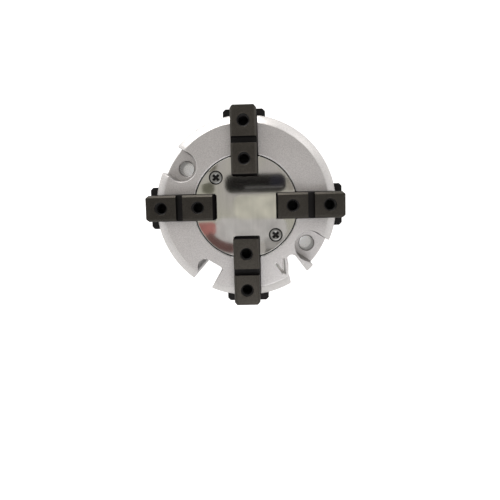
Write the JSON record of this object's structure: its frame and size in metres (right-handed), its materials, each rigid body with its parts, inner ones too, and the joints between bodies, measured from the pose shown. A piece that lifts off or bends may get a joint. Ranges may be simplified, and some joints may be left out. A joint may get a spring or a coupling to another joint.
{
  "type": "four jaw centric gripper",
  "caption": "Round pneumatic gripper: a piston and a hooked wedge move radial T-slot jaws together. Open pockets for mounting screws, side slots for sensors.",
  "frame": {"origin": "centre of the base face", "axes": "+Z along the gripper's axis from the base face towards the jaws; +X along the slide of jaw 1 and +Y along that of jaw 2"},
  "size_m": [0.066, 0.066, 0.064],
  "materials": {
    "bead_blasted_aluminium": "satin, fine bead-blasted and clear anodised",
    "polished_steel": "lightly brushed, nearly mirror bright",
    "screw_steel": "plain zinc-coated steel",
    "sintered_bronze": "matte porous bronze",
    "black_rubber": "matte black nitrile rubber",
    "stop_rubber": "matte orange polyurethane",
    "turned_aluminium": "turned, with fine rings",
    "spring_steel": "dark phosphated spring steel",
    "white_plastic": "off-white low-friction plastic",
    "magnet": "dark grey plastic-bonded magnet",
    "ground_steel": "ground and hard chromed",
    "hardened_steel": "ground tool steel",
    "black_screw_steel": "black oxide",
    "black_steel": "satin warm black oxide on steel"
  },
  "bodies": {
    "body": {"housing": "bead_blasted_aluminium", "centre_plate": "polished_steel", "plate_screws": "screw_steel", "rod_bush": "sintered_bronze", "rod_seal": "black_rubber", "seal_washer": "screw_steel", "upper_stop": "stop_rubber", "lower_stop": "stop_rubber", "end_cap": "turned_aluminium", "cap_o_ring": "black_rubber", "retaining_ring": "spring_steel"},
    "drive": {"piston": "turned_aluminium", "piston_seal": "black_rubber", "wear_ring": "white_plastic", "magnet_ring": "magnet", "piston_rod": "ground_steel", "rod_o_ring": "black_rubber", "rod_nut": "screw_steel", "wedge": "hardened_steel", "wedge_screw": "black_screw_steel"},
    "jaw_1": {"jaw_1": "black_steel"},
    "jaw_2": {"jaw_2": "black_steel"},
    "jaw_3": {"jaw_3": "black_steel"},
    "jaw_4": {"jaw_4": "black_steel"}
  },
  "joints": [
    {"name": "piston_slide", "type": "slide", "parent": "body", "child": "drive", "axis": [0, 0, 1], "range_m": [0, 0.007]},
    {"name": "jaw_1_slide", "type": "slide", "parent": "body", "child": "jaw_1", "axis": [1, 0, 0], "range_m": [0, 0.004]},
    {"name": "jaw_2_slide", "type": "slide", "parent": "body", "child": "jaw_2", "axis": [0, 1, 0], "range_m": [0, 0.004]},
    {"name": "jaw_3_slide", "type": "slide", "parent": "body", "child": "jaw_3", "axis": [-1, 0, 0], "range_m": [0, 0.004]},
    {"name": "jaw_4_slide", "type": "slide", "parent": "body", "child": "jaw_4", "axis": [0, -1, 0], "range_m": [0, 0.004]}
  ],
  "couplings": [
    {"joint": "jaw_1_slide", "follows": "piston_slide", "ratio": 0.5714},
    {"joint": "jaw_2_slide", "follows": "piston_slide", "ratio": 0.5714},
    {"joint": "jaw_3_slide", "follows": "piston_slide", "ratio": 0.5714},
    {"joint": "jaw_4_slide", "follows": "piston_slide", "ratio": 0.5714}
  ]
}
